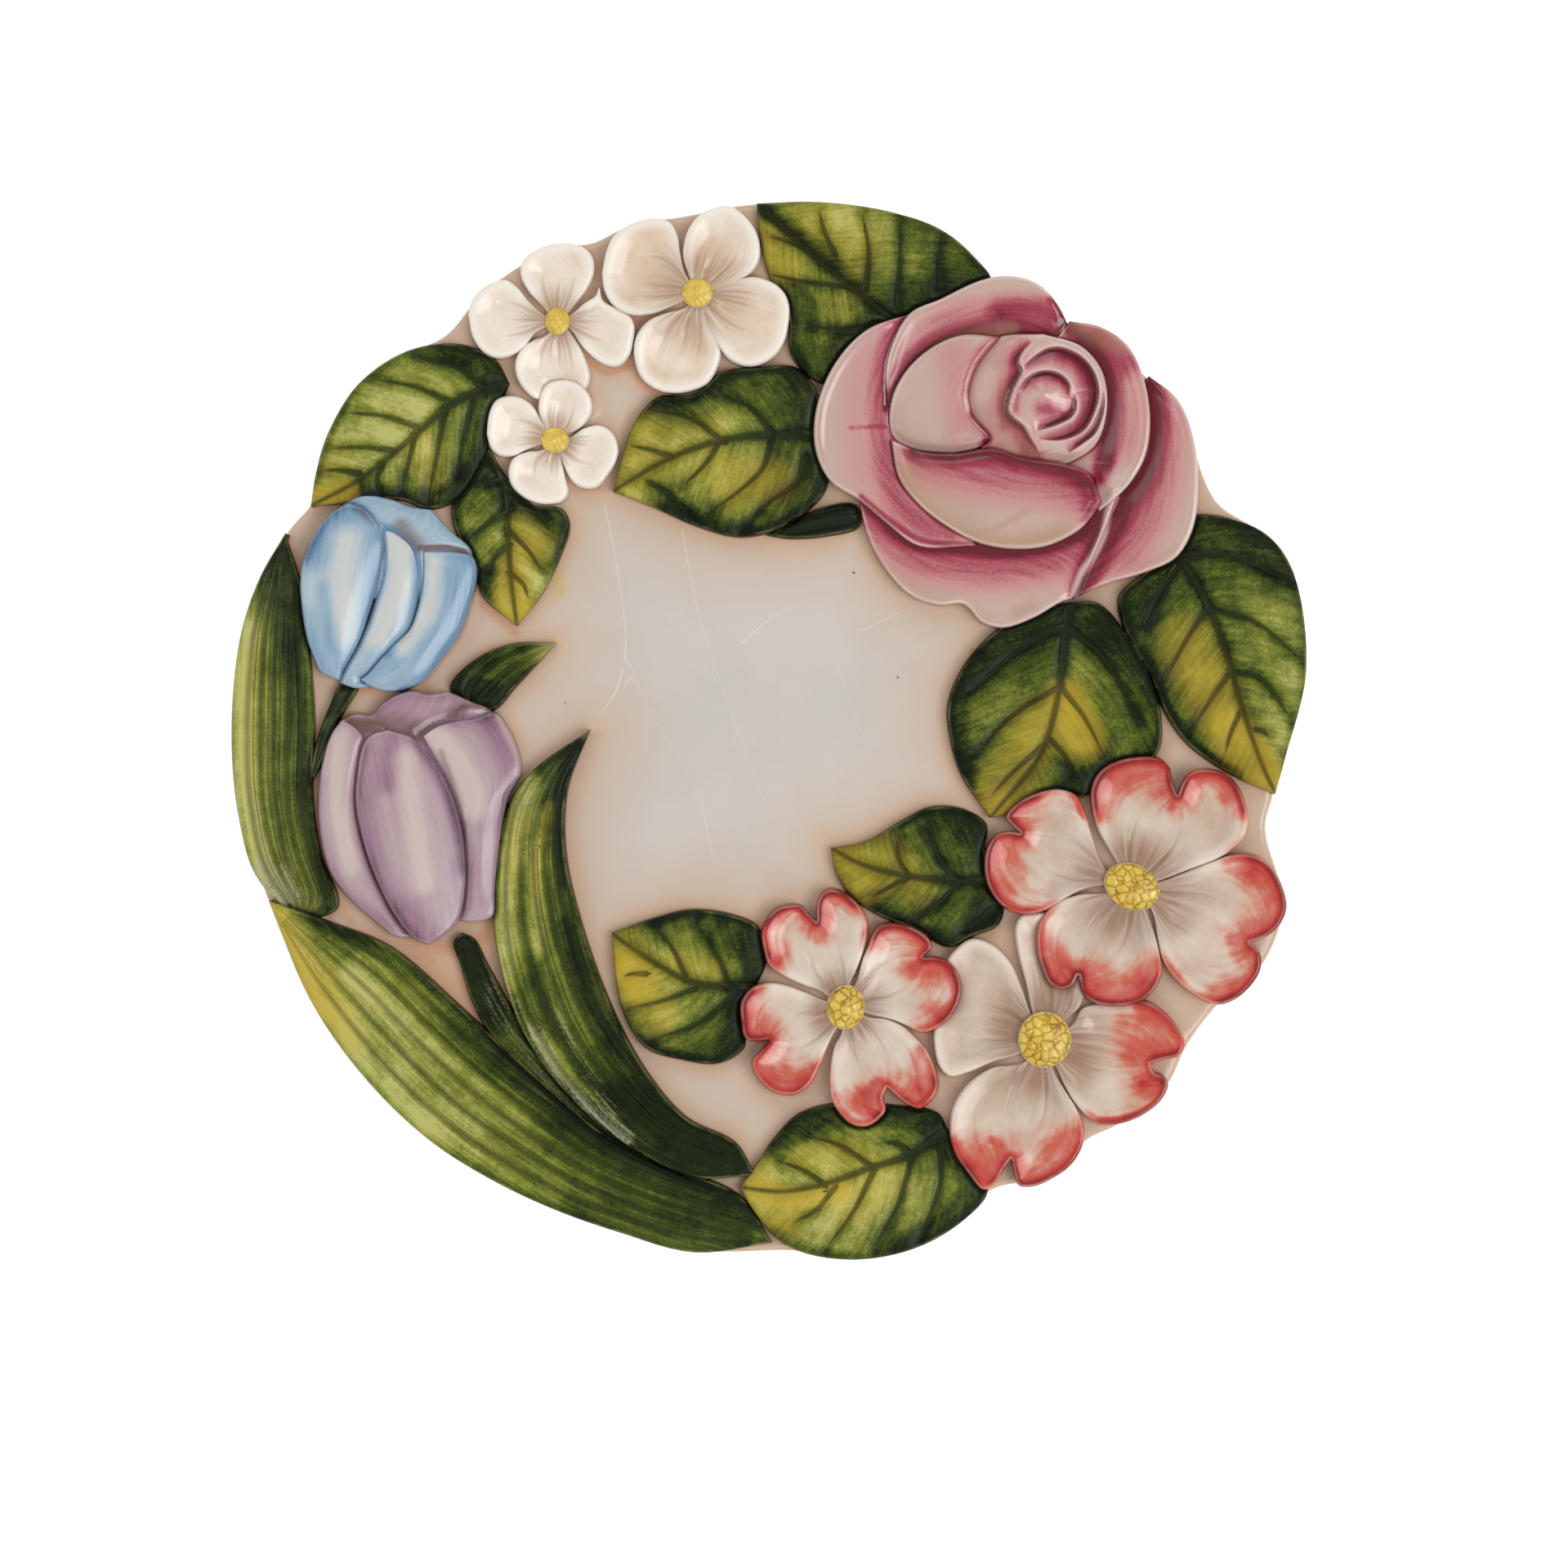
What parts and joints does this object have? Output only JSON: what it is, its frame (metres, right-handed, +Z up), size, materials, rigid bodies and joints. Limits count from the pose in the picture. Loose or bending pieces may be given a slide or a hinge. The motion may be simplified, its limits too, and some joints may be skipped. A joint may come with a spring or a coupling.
{
  "type": "decorative relief plate",
  "caption": "Round wall plate with a wavy rim, a raised wreath of leaves and flowers round a shallow open well, and a foot ring underneath.",
  "frame": {"origin": "middle of the box around the plate, on the plane that the foot ring rests on", "axes": "+Z up out of the plate's face, +X to the right of the picture on it, +Y to its top"},
  "size_m": [0.2626, 0.2586, 0.0273],
  "materials": {
    "glazed_earthenware": "cream glaze with fine crazing, glossy, the raised flowers and leaves painted by hand under it"
  },
  "bodies": {
    "root": {"plate": "glazed_earthenware"}
  },
  "joints": []
}
